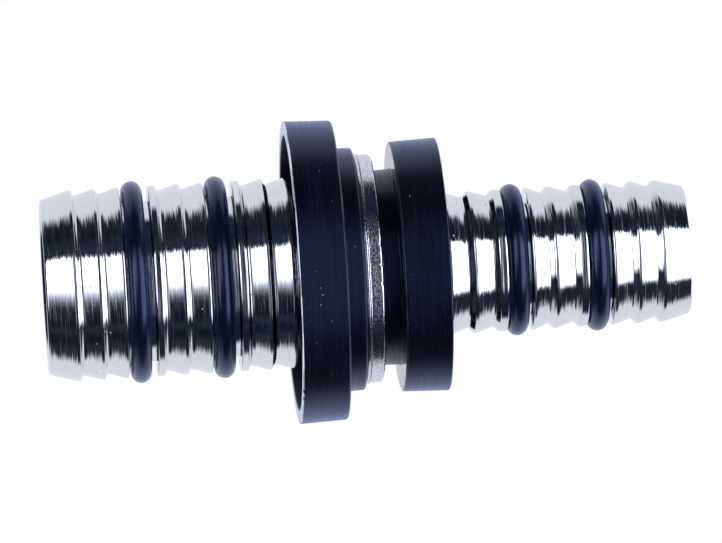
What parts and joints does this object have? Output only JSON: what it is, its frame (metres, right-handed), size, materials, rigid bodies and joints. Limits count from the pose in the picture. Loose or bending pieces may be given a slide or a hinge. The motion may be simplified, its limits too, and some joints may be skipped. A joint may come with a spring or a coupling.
{
  "type": "press reducing coupling",
  "caption": "Straight reducing coupling for pressed multilayer pipe: turned plated brass body, barbed spigots of unequal size, rubber seal rings, and moulded stop rings beside a flange.",
  "frame": {"origin": "centre of the large end's face, which the part stands on", "axes": "+Z along the waterway from the large end up to the small end; the part is round, so +X and +Y are any two directions square to it"},
  "size_m": [0.0312, 0.0312, 0.0663],
  "materials": {
    "nickel_plated_brass": "bright turned nickel plate with fine turning marks",
    "ring_plastic": "satin near-black moulded plastic",
    "seal_rubber": "smooth black rubber, slightly oily"
  },
  "bodies": {
    "root": {"coupling_body": "nickel_plated_brass", "large_stop_ring": "ring_plastic", "small_stop_ring": "ring_plastic", "large_o_ring_1": "seal_rubber", "large_o_ring_2": "seal_rubber", "small_o_ring_1": "seal_rubber", "small_o_ring_2": "seal_rubber"}
  },
  "joints": []
}
